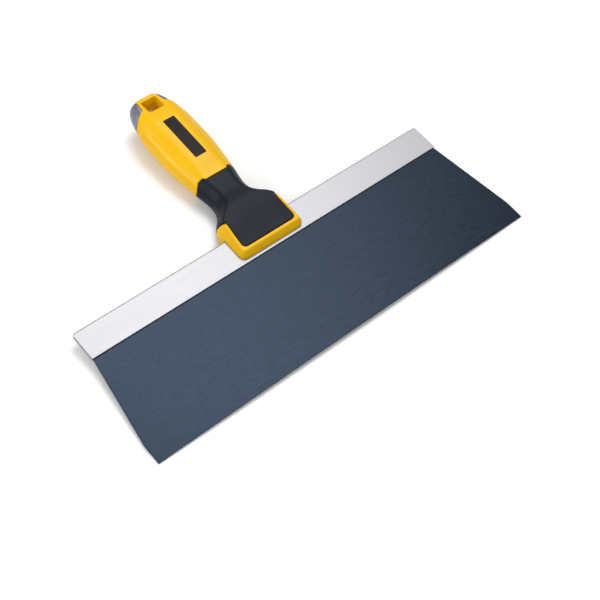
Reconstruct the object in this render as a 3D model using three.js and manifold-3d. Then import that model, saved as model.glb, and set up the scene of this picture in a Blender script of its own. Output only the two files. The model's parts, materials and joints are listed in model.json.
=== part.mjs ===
// Drywall taping knife: a thin blued-steel blade gripped by a folded back bar, and a handle of two
// moulded shells on a steel tang, with soft grips over its head and neck and a metal cap in its butt.
//
// Millimetres. The knife is drawn in its own frame: X along the bar, Y from the working edge to the
// butt with Y = 0 at the bar's lower edge, and Z out of the front face with Z = 0 in the blade's
// middle. The outer group then lays it down on its back, on the plane Z = 0.

import * as THREE from 'three';
import { mergeVertices } from 'three/addons/utils/BufferGeometryUtils.js';
import Module from 'manifold-3d';

const wasm = await Module();
wasm.setup();

// ---- Driving dimensions ----

// Blade: a 12 in working edge, 3 in from the bar
const BLADE_WIDTH = 304.8;
const BLADE_DEPTH = 76.2;
const BLADE_THICKNESS = 0.5;
const BLADE_BOW = 2.1; // how far the middle of the working edge stands in front of its corners
const BLADE_FLARE_DEPTH = 62.5; // from here to the working edge the sides run parallel
const BLADE_ROOT = 16; // hidden in the bar
const BLADE_ROOT_INSET = 0.3; // from each end of the bar

// Back bar: one sheet folded over the blade's root
const BAR_LENGTH = 285.5;
const BAR_HEIGHT = 20.8;
const BAR_SHEET = 0.9;
const BAR_CORNER_RADIUS = 2.5;

// Handle
const HEAD_START = 2;
const HEAD_HALF_WIDTH = 25.8;
const HEAD_CORNER_RADIUS = 5;
const LIP_HEIGHT = 2.8; // front face at the head's lip
const LIP_SLOPE = 1.5;
const REAR_LIP_HEIGHT = -4.8;
const BUTT_END = 139;
const PARTING_Z = -2.3; // the plane where the two shells meet

// Soft grips
const GRIP_THICKNESS = 1.6;
const GRIP_END = 62.1; // on the flat faces
const GRIP_EAR_END = 64; // on the slanted flanks
const GRIP_SIDE_END = 61; // on the sides
const GRIP_EAR_INNER_X = 8.6;
const GRIP_SHOULDER = 28; // where the neck's grip starts at the pads' rear corners
const PAD_START = 6.9;
const PAD_END = 30;
const PAD_START_HALF_WIDTH = 21.8;
const PAD_END_HALF_WIDTH = 20.6;
const PAD_CORNER_RADIUS = 3.5;

// Butt
const TONGUE_START = 128.4;
const TONGUE_START_HALF_WIDTH = 8.8;
const TONGUE_END_HALF_WIDTH = 7;
const NOTCH_START = 122.5;
const CAP_SIDE_RECESS = 0.4;
const CAP_FACE_RECESS = 1.2; // how far the cap lies below the tongues' faces
const WEB_HALF_THICKNESS = 3.5; // the cap's middle, between the two tongues
const WEB_START = 121;
const HOLE_CENTRE_Y = 129.7;
const HOLE_LENGTH = 10.6;
const HOLE_WIDTH = 12;
const HOLE_RADIUS = 1.6;
const SLEEVE_WALL = 1.2; // the shells line the hole through the cap

// Tang
const TANG_THICKNESS = 2;
const TANG_FOOT_HALF_WIDTH = 19;
const TANG_FOOT_START = 4;
const TANG_FOOT_END = 17;
const TANG_NECK_HALF_WIDTH = 6;
const TANG_BODY_HALF_WIDTH = 8.5;
const TANG_END = 119;

// Fasteners
const RIVET_X = [-13, 0, 13];
const RIVET_Y = 10.5;
const RIVET_SHANK_RADIUS = 2;
const RIVET_HEAD_RADIUS = 3.4;
const RIVET_HEAD_HEIGHT = 0.9;
const SCREW_Y = [40, 70, 112];
const SCREW_SHANK_RADIUS = 1.5;
const SCREW_HEAD_RADIUS = 3;
const SCREW_HEAD_HEIGHT = 1.8;
const SCREW_REACH = 6.5; // how far the tip goes in front of the parting plane
const SCREW_POCKET_DEPTH = 1.2; // below the rear surface

// Badge
const BADGE_WIDTH = 9;
const BADGE_START = 78;
const BADGE_END = 113;
const BADGE_THICKNESS = 0.8;
const BADGE_RADIUS = 0.8;
const BADGE_PROUD = 0.15;

// Clearances
const SHEET_GAP = 0.1; // between flat sheets that lie on each other
const FIT_GAP = 0.3; // round a piece that sits in a cut pocket
const GRIP_GROOVE = 0.35; // visible groove along the edge of a soft grip

const BAR_HALF_THICKNESS = BLADE_THICKNESS / 2 + SHEET_GAP + BAR_SHEET;
const TANG_FRONT_Z = -BAR_HALF_THICKNESS - SHEET_GAP;
const TANG_REAR_Z = TANG_FRONT_Z - TANG_THICKNESS;

// ---- The handle's outer form, as curves along Y ----

// A smooth curve through [y, value] knots that never overshoots them (a monotone cubic).
function smoothCurve(knots) {
  const slopeBetween = (a, b) => (b[1] - a[1]) / (b[0] - a[0]);
  const slopes = knots.map((knot, i) => {
    if (i === 0 || i === knots.length - 1) return 0;
    const before = slopeBetween(knots[i - 1], knot);
    const after = slopeBetween(knot, knots[i + 1]);
    return before * after > 0 ? (2 * before * after) / (before + after) : 0;
  });
  return (y) => {
    const clamped = THREE.MathUtils.clamp(y, knots[0][0], knots[knots.length - 1][0] - 1e-9);
    const i = knots.findIndex((knot) => knot[0] > clamped) - 1;
    const length = knots[i + 1][0] - knots[i][0];
    const t = (clamped - knots[i][0]) / length;
    const start = knots[i][1] * (1 + 2 * t) * (1 - t) ** 2 + slopes[i] * length * t * (1 - t) ** 2;
    const end = knots[i + 1][1] * (3 - 2 * t) * t ** 2 + slopes[i + 1] * length * (t - 1) * t ** 2;
    return start + end;
  };
}

const bodyHalfWidth = smoothCurve([
  [HEAD_START, HEAD_HALF_WIDTH], [24, 25.7], [29, 25], [33, 22.2], [37, 18], [42, 15.2], [48, 14.2],
  [64, 16.6], [94, 19.4], [112, 19.2], [126, 17.2], [131, 15.8], [135, 14], [138, 12], [BUTT_END, 9.8],
]);
const bodyFront = smoothCurve([
  [HEAD_START, 7], [7, 7.3], [28, 9.9], [35.5, 10.5], [48, 8.9], [62, 8.8], [78, 11.1], [113, 11.7],
  [125, 10.3], [135, 9.3], [BUTT_END, 7.6],
]);
const bodyRear = smoothCurve([
  [HEAD_START, -6.4], [28, -8.4], [48, -9.2], [63, -11.2], [92, -14.6], [112, -13.4], [126, -9.8],
  [136, -6.6], [BUTT_END, -5],
]);
const frontShoulder = smoothCurve([[30, 2.6], [46, 2.2], [94, 4.5], [BUTT_END, 4.2]]);
const rearShoulder = smoothCurve([[30, -4], [46, -4], [94, -5.5], [BUTT_END, -2.4]]);
const flankRun = smoothCurve([[28, 0.55], [46, 0.8], [94, 1.4], [BUTT_END, 0.8]]); // X run per Z rise
const edgeRounding = smoothCurve([[22, 0.7], [40, 2.6], [94, 4.6], [130, 3.4], [BUTT_END, 1.8]]);

// How far a corner of the given radius draws the side in, at a distance from the end face.
function cornerDraw(radius, distance) {
  if (distance >= radius) return 0;
  return radius - Math.sqrt(radius ** 2 - (radius - distance) ** 2);
}

// The section at y as eight corners, counter-clockwise seen from the working edge, each rounded by a
// short curve. Inset draws every side in.
function handleSection(y, inset) {
  const halfWidth = bodyHalfWidth(y) - cornerDraw(HEAD_CORNER_RADIUS, y - HEAD_START) - inset;
  const lipFront = LIP_HEIGHT + LIP_SLOPE * (y - HEAD_START);
  const lipRear = REAR_LIP_HEIGHT - LIP_SLOPE * (y - HEAD_START);
  const front = Math.min(bodyFront(y), lipFront) - inset;
  const rear = Math.max(bodyRear(y), lipRear) + inset;
  const frontEdge = Math.min(frontShoulder(y), front - 0.2);
  const rearEdge = Math.max(rearShoulder(y), rear + 0.2);
  const frontFlat = halfWidth - flankRun(y) * (front - frontEdge);
  const rearFlat = halfWidth - flankRun(y) * (rearEdge - rear);
  const corners = [
    [halfWidth, frontEdge], [frontFlat, front], [-frontFlat, front], [-halfWidth, frontEdge],
    [-halfWidth, rearEdge], [-rearFlat, rear], [rearFlat, rear], [halfWidth, rearEdge],
  ].map(([x, z]) => new THREE.Vector2(x, z));
  return corners.flatMap((corner, i) => {
    const before = corners[(i + 7) % 8];
    const after = corners[(i + 1) % 8];
    return roundedCorner(before, corner, after, edgeRounding(y));
  });
}

// Four points round a corner, reaching the given distance along both edges, or 0.45 of a short edge.
function roundedCorner(before, corner, after, distance) {
  const towards = (neighbour) => {
    const length = corner.distanceTo(neighbour);
    return corner.clone().lerp(neighbour, Math.min(distance / length, 0.45));
  };
  return new THREE.QuadraticBezierCurve(towards(before), corner, towards(after)).getPoints(3);
}

// Stations along the handle, closer together where the form turns quickly.
const HANDLE_STATIONS = [
  [HEAD_START, 5, 5], [5, 7, 1], [7, 23, 4], [23, 49, 13], [49, 121, 16], [121, BUTT_END, 10],
]
  .flatMap(([from, to, steps]) => Array.from({ length: steps }, (_, i) => from + ((to - from) * i) / steps))
  .concat(BUTT_END);

// ---- Solids ----

function solidOf(geometry) {
  const bare = new THREE.BufferGeometry();
  bare.setAttribute('position', geometry.getAttribute('position').clone());
  bare.setIndex(geometry.getIndex());
  const merged = mergeVertices(bare, 1e-4);
  return new wasm.Manifold(new wasm.Mesh({
    numProp: 3,
    vertProperties: new Float32Array(merged.getAttribute('position').array),
    triVerts: new Uint32Array(merged.getIndex().array),
  }));
}

function geometryOf(solid) {
  const mesh = solid.getMesh();
  const geometry = new THREE.BufferGeometry();
  geometry.setAttribute('position', new THREE.BufferAttribute(mesh.vertProperties, 3));
  geometry.setIndex(new THREE.BufferAttribute(mesh.triVerts, 1));
  geometry.computeVertexNormals();
  return geometry;
}

// A closed solid through the sections at the given stations, with a fan over each end.
function loftSolid(stations, sectionAt) {
  const rings = stations.map((y) => sectionAt(y).map((point) => new THREE.Vector3(point.x, y, point.y)));
  const count = rings[0].length;
  const points = rings.flat();
  const firstCentre = points.push(averageOf(rings[0])) - 1;
  const lastCentre = points.push(averageOf(rings[rings.length - 1])) - 1;
  const lastRing = (rings.length - 1) * count;
  const triangles = [];
  for (let j = 0; j < count; j += 1) {
    const next = (j + 1) % count;
    for (let ring = 0; ring < lastRing; ring += count) {
      triangles.push(ring + j, ring + count + j, ring + next);
      triangles.push(ring + count + j, ring + count + next, ring + next);
    }
    triangles.push(firstCentre, j, next);
    triangles.push(lastCentre, lastRing + next, lastRing + j);
  }
  const geometry = new THREE.BufferGeometry().setFromPoints(points);
  geometry.setIndex(triangles);
  return solidOf(geometry);
}

function averageOf(points) {
  const sum = new THREE.Vector3();
  points.forEach((point) => sum.add(point));
  return sum.divideScalar(points.length);
}

function handleSolid(inset) {
  return loftSolid(HANDLE_STATIONS, (y) => handleSection(y, inset));
}

function boxSolid(x0, x1, y0, y1, z0, z1) {
  const box = new THREE.BoxGeometry(x1 - x0, y1 - y0, z1 - z0);
  box.translate((x0 + x1) / 2, (y0 + y1) / 2, (z0 + z1) / 2);
  return solidOf(box);
}

// A plan outline in X and Y, standing from z0 to z1.
function plateSolid(shape, z0, z1, curveSegments = 6) {
  const plate = new THREE.ExtrudeGeometry(shape, { depth: z1 - z0, bevelEnabled: false, curveSegments });
  plate.translate(0, 0, z0);
  return solidOf(plate);
}

// A side outline in Y and Z, reaching from -halfWidth to +halfWidth along X.
function sideSolid(shape, halfWidth, curveSegments = 8) {
  const geometry = new THREE.ExtrudeGeometry(shape, {
    depth: 2 * halfWidth, bevelEnabled: false, curveSegments,
  });
  const alongY = new THREE.Vector3(0, 1, 0);
  const alongZ = new THREE.Vector3(0, 0, 1);
  const alongX = new THREE.Vector3(1, 0, 0);
  geometry.applyMatrix4(new THREE.Matrix4().makeBasis(alongY, alongZ, alongX));
  geometry.translate(-halfWidth, 0, 0);
  return solidOf(geometry);
}

// A turned piece from [radius, z] points, standing on Z at (x, y).
function turnedSolid(profile, x, y, segments = 20) {
  const points = profile.map(([radius, z]) => new THREE.Vector2(radius, z));
  const geometry = new THREE.LatheGeometry(points, segments);
  geometry.rotateX(Math.PI / 2);
  geometry.translate(x, y, 0);
  return solidOf(geometry);
}

function rodSolid(radius, x, y, z0, z1, segments = 20) {
  return turnedSolid([[0, z0], [radius, z0], [radius, z1], [0, z1]], x, y, segments);
}

// A closed outline from the points of its right half, in order away from or towards the butt.
function mirroredOutline(right) {
  const left = right.map(([x, y]) => [-x, y]).reverse();
  return new THREE.Shape([...right, ...left].map(([x, y]) => new THREE.Vector2(x, y)));
}

function roundedRectangle(x0, x1, y0, y1, radius) {
  const shape = new THREE.Shape();
  shape.moveTo(x0 + radius, y0);
  shape.lineTo(x1 - radius, y0);
  shape.absarc(x1 - radius, y0 + radius, radius, -Math.PI / 2, 0);
  shape.lineTo(x1, y1 - radius);
  shape.absarc(x1 - radius, y1 - radius, radius, 0, Math.PI / 2);
  shape.lineTo(x0 + radius, y1);
  shape.absarc(x0 + radius, y1 - radius, radius, Math.PI / 2, Math.PI);
  shape.lineTo(x0, y0 + radius);
  shape.absarc(x0 + radius, y0 + radius, radius, Math.PI, 1.5 * Math.PI);
  return shape;
}

// ---- Blade and bar ----

function bladeHalfWidth(depth) {
  const root = BAR_LENGTH / 2 - BLADE_ROOT_INSET;
  const flare = THREE.MathUtils.clamp(depth / BLADE_FLARE_DEPTH, 0, 1);
  return THREE.MathUtils.lerp(root, BLADE_WIDTH / 2, flare);
}

// A box of unit size bent to the blade: its rows go to depths below the bar, its columns fill the width
// there, and the exposed part bows forward towards the working edge.
function blade() {
  const flareRows = [0, 0.25, 0.5, 0.75, 1].map((part) => part * BLADE_FLARE_DEPTH);
  const depths = [-BLADE_ROOT, ...flareRows, BLADE_DEPTH];
  const rows = depths.length - 1;
  const box = new THREE.BoxGeometry(1, 1, 1, 20, rows, 1);
  const position = box.getAttribute('position');
  for (let i = 0; i < position.count; i += 1) {
    const depth = depths[Math.round((0.5 - position.getY(i)) * rows)];
    const across = 2 * position.getX(i);
    const bow = BLADE_BOW * (1 - across ** 2) * Math.max(depth / BLADE_DEPTH, 0) ** 1.5;
    position.setXYZ(i, across * bladeHalfWidth(depth), -depth, bow + position.getZ(i) * BLADE_THICKNESS);
  }
  return RIVET_X.reduce((solid, x) => solid.subtract(rivetHole(x)), solidOf(box));
}

function barProfile() {
  const inner = BLADE_THICKNESS / 2 + SHEET_GAP;
  const outer = BAR_HALF_THICKNESS;
  const foldY = BAR_HEIGHT - outer;
  const shape = new THREE.Shape();
  shape.moveTo(0, -outer);
  shape.lineTo(foldY, -outer);
  shape.absarc(foldY, 0, outer, -Math.PI / 2, Math.PI / 2);
  shape.lineTo(0, outer);
  shape.lineTo(0, inner);
  shape.lineTo(foldY, inner);
  shape.absarc(foldY, 0, inner, Math.PI / 2, -Math.PI / 2, true);
  shape.lineTo(0, -inner);
  return shape;
}

function backBar() {
  const halfLength = BAR_LENGTH / 2;
  const channel = sideSolid(barProfile(), halfLength);
  const plan = roundedRectangle(-halfLength, halfLength, -10, BAR_HEIGHT, BAR_CORNER_RADIUS);
  const trimmed = channel.intersect(plateSolid(plan, -5, 5));
  return RIVET_X.reduce((solid, x) => solid.subtract(rivetHole(x)), trimmed);
}

// ---- Tang and rivets ----

function tangOutline(grow) {
  const foot = TANG_FOOT_HALF_WIDTH + grow;
  const neck = TANG_NECK_HALF_WIDTH + grow;
  const body = TANG_BODY_HALF_WIDTH + grow;
  return mirroredOutline([
    [foot, TANG_FOOT_START - grow], [foot, TANG_FOOT_END + grow], [neck, 30], [neck, 56], [body, 66],
    [body, TANG_END - 4], [body - 4, TANG_END + grow],
  ]);
}

function tang() {
  const plate = plateSolid(tangOutline(0), TANG_REAR_Z, TANG_FRONT_Z);
  const riveted = RIVET_X.reduce((solid, x) => solid.subtract(rivetHole(x)), plate);
  return SCREW_Y.reduce((solid, y) => solid.subtract(screwHole(y)), riveted);
}

function rivetHole(x) {
  return rodSolid(RIVET_SHANK_RADIUS + FIT_GAP / 2, x, RIVET_Y, -10, 10);
}

function rivet(x) {
  const frontSeat = BAR_HALF_THICKNESS + SHEET_GAP;
  const rearSeat = TANG_REAR_Z - SHEET_GAP;
  const dome = RIVET_HEAD_HEIGHT * 0.5;
  const profile = [
    [0, rearSeat - RIVET_HEAD_HEIGHT], [RIVET_HEAD_RADIUS * 0.7, rearSeat - RIVET_HEAD_HEIGHT],
    [RIVET_HEAD_RADIUS, rearSeat - dome], [RIVET_HEAD_RADIUS, rearSeat], [RIVET_SHANK_RADIUS, rearSeat],
    [RIVET_SHANK_RADIUS, frontSeat], [RIVET_HEAD_RADIUS, frontSeat], [RIVET_HEAD_RADIUS, frontSeat + dome],
    [RIVET_HEAD_RADIUS * 0.7, frontSeat + RIVET_HEAD_HEIGHT], [0, frontSeat + RIVET_HEAD_HEIGHT],
  ];
  return turnedSolid(profile, x, RIVET_Y);
}

// ---- Cutting zones of the handle ----

// Everything in front of the shells' joint. The joint steps round the bar: below the bar's fold the
// bar itself lies between the shells.
function frontZone(gap) {
  const behindBar = boxSolid(-60, 60, BAR_HEIGHT + FIT_GAP, 200, PARTING_Z + gap / 2, 60);
  const overBar = boxSolid(-60, 60, -20, BAR_HEIGHT + 2 * FIT_GAP, BAR_HALF_THICKNESS + SHEET_GAP, 60);
  return behindBar.add(overBar);
}

function rearZone(gap) {
  const behindBar = boxSolid(-60, 60, BAR_HEIGHT - FIT_GAP, 200, -60, PARTING_Z - gap / 2);
  const underBar = boxSolid(-60, 60, -20, BAR_HEIGHT, -60, -BAR_HALF_THICKNESS - SHEET_GAP);
  return behindBar.add(underBar);
}

// The space of the soft grips: all round the neck, and the pads on both faces of the head. Shrink is
// the groove that a grip leaves along its edge.
function gripZone(shrink) {
  const neck = plateSolid(neckPlan(shrink), -60, 60).intersect(sideSolid(neckSide(shrink), 60));
  return neck.add(padZone(shrink));
}

// The neck's grip from the front: its butt edge has an ear on each slanted flank.
function neckPlan(shrink) {
  const right = [
    [60, 10], [60, 50], [24, 58 - shrink], [16.5, GRIP_SIDE_END - shrink], [13.5, GRIP_EAR_END - shrink],
    [GRIP_EAR_INNER_X + 1 + shrink, GRIP_EAR_END - shrink], [GRIP_EAR_INNER_X + shrink, GRIP_END - shrink],
  ];
  return mirroredOutline(right);
}

// The neck's grip from the side: it starts along a shallow bulge of the head.
function neckSide(shrink) {
  const start = GRIP_SHOULDER + shrink;
  const shape = new THREE.Shape();
  shape.moveTo(90, -40);
  shape.lineTo(90, 40);
  shape.lineTo(start, 40);
  shape.lineTo(start, 9);
  shape.quadraticCurveTo(start + 4.4, 1, start, -9);
  shape.lineTo(start, -40);
  return shape;
}

function padOutline(shrink) {
  const start = PAD_START + shrink;
  const startHalf = PAD_START_HALF_WIDTH - shrink;
  const endHalf = PAD_END_HALF_WIDTH - shrink;
  const radius = PAD_CORNER_RADIUS;
  const shape = new THREE.Shape();
  shape.moveTo(-endHalf, PAD_END);
  shape.lineTo(-startHalf, start + radius);
  shape.quadraticCurveTo(-startHalf, start, -startHalf + radius, start);
  shape.lineTo(startHalf - radius, start);
  shape.quadraticCurveTo(startHalf, start, startHalf, start + radius);
  shape.lineTo(endHalf, PAD_END);
  return shape;
}

function padZone(shrink) {
  const outline = padOutline(shrink);
  const front = plateSolid(outline, 3, 40);
  const rear = plateSolid(outline, -40, -5);
  return front.add(rear);
}

// The plan of the shells: full width as far as the notch, then the tongue round the hang hole.
function tongueZone(grow) {
  const start = TONGUE_START_HALF_WIDTH + grow;
  const end = TONGUE_END_HALF_WIDTH + grow;
  const outline = mirroredOutline([
    [60, 0], [60, NOTCH_START - 6 + grow], [18.5, NOTCH_START + grow], [14.2, 126 + grow],
    [start, TONGUE_START + grow], [end, BUTT_END + grow], [end, 200],
  ]);
  return plateSolid(outline, -60, 60);
}

function webZone(grow) {
  const z0 = PARTING_Z - WEB_HALF_THICKNESS - grow;
  const z1 = PARTING_Z + WEB_HALF_THICKNESS + grow;
  return boxSolid(-60, 60, WEB_START - grow, 200, z0, z1);
}

function holeZone(grow) {
  const halfWidth = HOLE_WIDTH / 2 + grow;
  const halfLength = HOLE_LENGTH / 2 + grow;
  const outline = roundedRectangle(
    -halfWidth, halfWidth, HOLE_CENTRE_Y - halfLength, HOLE_CENTRE_Y + halfLength, HOLE_RADIUS + grow,
  );
  return plateSolid(outline, -60, 60);
}

// ---- Handle pieces ----

function moulding() {
  const grip = gripZone(0);
  const shells = outerForm.intersect(tongueZone(0));
  const core = handleSolid(GRIP_THICKNESS + SHEET_GAP);
  const withCore = shells.subtract(grip).add(core.intersect(shells));
  const sleeve = holeZone(SLEEVE_WALL).intersect(webZone(1)).intersect(tongueZone(0)).intersect(outerForm);
  const withSleeve = withCore.subtract(webZone(SHEET_GAP)).add(sleeve);
  return withSleeve.subtract(holeZone(0)).subtract(tangPocket());
}

function tangPocket() {
  const pocket = plateSolid(tangOutline(FIT_GAP), TANG_REAR_Z - SHEET_GAP, TANG_FRONT_Z + SHEET_GAP);
  const headRadius = RIVET_HEAD_RADIUS + FIT_GAP;
  const headZ = RIVET_HEAD_HEIGHT + 2 * FIT_GAP;
  return RIVET_X.reduce(
    (solid, x) => solid.add(rodSolid(headRadius, x, RIVET_Y, TANG_REAR_Z - headZ, BAR_HALF_THICKNESS + headZ)),
    pocket,
  );
}

function screwHole(y) {
  return rodSolid(SCREW_SHANK_RADIUS + FIT_GAP / 2, 0, y, -60, PARTING_Z + SCREW_REACH + FIT_GAP);
}

function screwSeat(y) {
  return bodyRear(y) + SCREW_POCKET_DEPTH + SCREW_HEAD_HEIGHT;
}

function screwPocket(y) {
  return rodSolid(SCREW_HEAD_RADIUS + FIT_GAP, 0, y, -60, screwSeat(y) + SHEET_GAP);
}

function screw(y) {
  const seat = screwSeat(y);
  const top = seat - SCREW_HEAD_HEIGHT;
  const tip = PARTING_Z + SCREW_REACH;
  const body = turnedSolid([
    [0, top], [SCREW_HEAD_RADIUS * 0.8, top], [SCREW_HEAD_RADIUS, top + 0.5], [SCREW_HEAD_RADIUS, seat],
    [SCREW_SHANK_RADIUS, seat], [SCREW_SHANK_RADIUS, tip - 1.5], [0.3, tip], [0, tip],
  ], 0, y);
  const slots = [[0.45, 1.9], [1.9, 0.45]].map(([x, length]) => boxSolid(
    -x, x, y - length, y + length, top - 1, top + 1,
  ));
  return body.subtract(slots[0].add(slots[1]));
}

function frontShell() {
  const shell = moulding().intersect(frontZone(SHEET_GAP)).subtract(badgeSolid(FIT_GAP / 3, 3));
  return SCREW_Y.reduce((solid, y) => solid.subtract(screwHole(y)), shell);
}

function rearShell() {
  const shell = moulding().intersect(rearZone(SHEET_GAP));
  return SCREW_Y.reduce((solid, y) => solid.subtract(screwHole(y)).subtract(screwPocket(y)), shell);
}

function grips() {
  return outerForm.intersect(gripZone(GRIP_GROOVE)).subtract(handleSolid(GRIP_THICKNESS));
}

function frontGrip() {
  return grips().intersect(frontZone(SHEET_GAP));
}

function rearGrip() {
  const grip = grips().intersect(rearZone(SHEET_GAP));
  return grip.subtract(screwPocket(SCREW_Y[0]));
}

// The cap: the two corners of the butt beside the tongues, joined by a web between them.
function buttCap() {
  const full = handleSolid(CAP_SIDE_RECESS);
  const drop = CAP_FACE_RECESS - CAP_SIDE_RECESS;
  const inside = full.intersect(full.translate(0, 0, -drop)).intersect(full.translate(0, 0, drop));
  const corners = inside.subtract(tongueZone(FIT_GAP));
  const web = inside.intersect(webZone(0));
  const sleeve = holeZone(SLEEVE_WALL + FIT_GAP).intersect(tongueZone(FIT_GAP));
  return corners.add(web).subtract(sleeve);
}

// The badge lies along the front face, tilted with it. Grow widens it and deepens it for its recess.
function badgeSolid(grow, height) {
  const halfWidth = BADGE_WIDTH / 2 + grow;
  const length = BADGE_END - BADGE_START;
  const startZ = bodyFront(BADGE_START);
  const tilt = Math.atan2(bodyFront(BADGE_END) - startZ, length);
  const outline = roundedRectangle(-halfWidth, halfWidth, -grow, length + grow, BADGE_RADIUS);
  const plate = new THREE.ExtrudeGeometry(outline, { depth: height, bevelEnabled: false, curveSegments: 4 });
  plate.translate(0, 0, BADGE_PROUD - BADGE_THICKNESS - grow);
  plate.rotateX(tilt);
  plate.translate(0, BADGE_START, startZ);
  return solidOf(plate);
}

// ---- Assembly ----

const FINISHES = {
  bluedSteel: { color: 0x4a5866, roughness: 0.42, metalness: 0.9 },
  bar: { color: 0xe4e4e8, roughness: 0.35, metalness: 0.9 },
  steel: { color: 0xa9acb0, roughness: 0.4, metalness: 0.9 },
  cap: { color: 0x8d8f9a, roughness: 0.4, metalness: 0.8 },
  yellow: { color: 0xfac314, roughness: 0.42, metalness: 0 },
  grip: { color: 0x33363d, roughness: 0.7, metalness: 0 },
  badge: { color: 0x1c1a18, roughness: 0.5, metalness: 0 },
};

const knife = new THREE.Group();

function addPiece(name, solid, finish) {
  const mesh = new THREE.Mesh(geometryOf(solid), new THREE.MeshStandardMaterial(FINISHES[finish]));
  mesh.name = name;
  knife.add(mesh);
}

const outerForm = handleSolid(0);

addPiece('blade', blade(), 'bluedSteel');
addPiece('back_bar', backBar(), 'bar');
addPiece('tang', tang(), 'steel');
RIVET_X.forEach((x, i) => addPiece(`tang_rivet_${i + 1}`, rivet(x), 'steel'));
addPiece('front_shell', frontShell(), 'yellow');
addPiece('rear_shell', rearShell(), 'yellow');
addPiece('front_grip', frontGrip(), 'grip');
addPiece('rear_grip', rearGrip(), 'grip');
addPiece('butt_cap', buttCap(), 'cap');
addPiece('badge', badgeSolid(0, BADGE_THICKNESS), 'badge');
SCREW_Y.forEach((y, i) => addPiece(`shell_screw_${i + 1}`, screw(y), 'steel'));

// The knife lies on the two corners of its working edge and on the belly of its handle: the tilt is
// the steepest line from the edge to any point of the rear profile.
const restTilt = Math.max(...HANDLE_STATIONS.map((y) => Math.atan2(
  -bodyRear(y) - BLADE_THICKNESS / 2, y + BLADE_DEPTH,
)));
knife.rotation.x = restTilt;

const part = new THREE.Group();
part.add(knife);
part.updateMatrixWorld(true);
const box = new THREE.Box3().setFromObject(knife, true);
knife.position.set(-(box.min.x + box.max.x) / 2, -(box.min.y + box.max.y) / 2, -box.min.z);

export default part;
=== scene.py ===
"""Drywall taping knife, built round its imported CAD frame.

The knife is drawn in its own frame, in millimetres: X along the bar, Y from the working edge to the butt
with Y = 0 at the bar's lower edge, and Z out of the front face with Z = 0 in the blade's middle. placed()
lays it down in the row frame, in metres.

Every new piece is cut out of a grid of points on a surface. Round each cut the edge rolls over with a
small radius, a wall goes down from it, and an inner surface closes the piece.
"""

import json
import math

import bmesh
import bpy
import numpy as np
from mathutils import Matrix, Vector


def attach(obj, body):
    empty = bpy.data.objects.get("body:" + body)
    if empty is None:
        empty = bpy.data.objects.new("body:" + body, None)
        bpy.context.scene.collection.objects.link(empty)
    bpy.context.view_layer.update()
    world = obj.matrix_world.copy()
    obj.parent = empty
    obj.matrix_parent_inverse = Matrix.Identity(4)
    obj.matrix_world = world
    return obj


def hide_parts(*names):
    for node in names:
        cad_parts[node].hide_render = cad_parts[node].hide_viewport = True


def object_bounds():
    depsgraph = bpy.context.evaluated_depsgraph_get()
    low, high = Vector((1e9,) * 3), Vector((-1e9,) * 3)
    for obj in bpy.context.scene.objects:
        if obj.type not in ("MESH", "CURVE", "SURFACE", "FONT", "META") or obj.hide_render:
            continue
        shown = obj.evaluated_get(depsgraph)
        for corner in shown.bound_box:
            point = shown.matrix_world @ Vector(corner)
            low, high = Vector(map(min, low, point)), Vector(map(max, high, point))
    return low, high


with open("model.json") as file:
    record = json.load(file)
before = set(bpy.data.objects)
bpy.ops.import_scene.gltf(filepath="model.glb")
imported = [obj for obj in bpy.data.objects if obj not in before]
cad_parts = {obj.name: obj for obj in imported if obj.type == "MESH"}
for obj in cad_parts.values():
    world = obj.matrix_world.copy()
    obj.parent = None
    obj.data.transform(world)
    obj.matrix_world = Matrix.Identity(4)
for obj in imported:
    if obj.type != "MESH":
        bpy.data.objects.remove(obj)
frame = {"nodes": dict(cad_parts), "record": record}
cad_low, cad_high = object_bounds()

# ---- Sizes of the knife, in its own frame (mm) ----

BLADE_WIDTH = 304.8
BLADE_DEPTH = 76.2
BLADE_THICKNESS = 0.5
BLADE_BOW = 2.1  # how far the middle of the working edge stands in front of its corners
BLADE_FLARE_DEPTH = 62.5
BLADE_ROOT = 16.0
BLADE_ROOT_INSET = 0.3

BAR_LENGTH = 285.5
BAR_HEIGHT = 20.8
BAR_SHEET = 0.9
BAR_OUTER = 1.25  # from the blade's middle to the bar's faces
BAR_CORNER_RADIUS = 2.5
BAR_CLEARANCE = 0.3  # between the bar's fold and the front shell

HEAD_START = 2.0
HEAD_HALF_WIDTH = 25.8
HEAD_CORNER_RADIUS = 5.0
LIP_HEIGHT = 2.8
LIP_SLOPE = 1.5
LIP_BLEND = 0.8
REAR_LIP_HEIGHT = -4.8
BUTT_END = 139.0
END_ROUNDING = 0.8  # radius between each end face and the sides
PARTING_Z = -2.3
PARTING_GAP = 0.05
SEAT_Z = BAR_OUTER + 0.1  # the shells sit on the bar's two faces

GRIP_THICKNESS = 1.6
GRIP_GROOVE = 0.3
GRIP_SHOULDER = 28.0
GRIP_SHOULDER_BULGE = 2.2
GRIP_SHOULDER_DEPTH = 9.0  # height and depth at which the bulge has died out
GRIP_BLEND = 3.0
PAD_START = 6.9
PAD_START_HALF_WIDTH = 21.8
PAD_END_HALF_WIDTH = 20.6
PAD_CORNER_RADIUS = 3.5
PAD_REACH = 45.0  # how far up the neck the pad's own outline counts

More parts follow.
